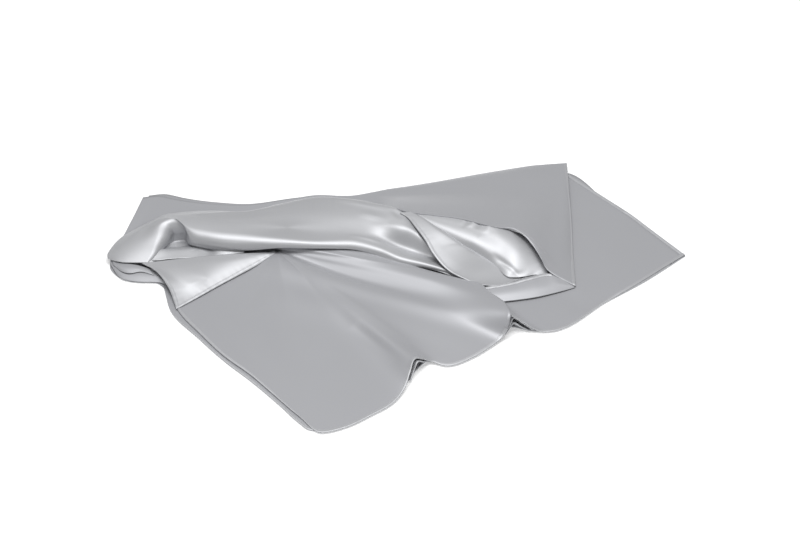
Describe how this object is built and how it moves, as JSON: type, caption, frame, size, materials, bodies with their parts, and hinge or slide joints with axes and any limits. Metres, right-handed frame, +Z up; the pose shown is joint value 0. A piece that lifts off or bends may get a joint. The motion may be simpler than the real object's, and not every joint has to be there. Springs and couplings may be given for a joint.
{
  "type": "silk head scarf",
  "caption": "Square silk satin head scarf dropped in loose folds, with a satin roll, an open pouch and a hem that waves.",
  "frame": {"origin": "centre of the scarf's footprint, on the surface it lies on", "axes": "+X to the right along the scarf's longest side as it lies, +Y away from the viewer, +Z up from the surface"},
  "size_m": [0.841, 0.6188, 0.042],
  "materials": {
    "silk_satin_face": "silver-grey silk charmeuse, the glossy satin face",
    "silk_satin_back": "silver-grey silk charmeuse, the dull crepe back"
  },
  "bodies": {
    "root": {"turned_strip": "silk_satin_face", "satin_roll": "silk_satin_face", "roll_hollow_fold": "silk_satin_face", "pouch_lining": "silk_satin_face", "pouch_bulge": "silk_satin_face", "lower_layer": "silk_satin_back", "right_panel": "silk_satin_back", "front_flap": "silk_satin_back", "left_back_panel": "silk_satin_back", "left_back_under": "silk_satin_back", "back_panel": "silk_satin_back", "pouch_lip": "silk_satin_back", "left_bend_outer": "silk_satin_back", "left_bend_inner": "silk_satin_back", "first_wave_layer": "silk_satin_back", "second_wave_layer": "silk_satin_back", "second_wave_inner_layer": "silk_satin_back", "hidden_layers": "silk_satin_back"}
  },
  "joints": []
}
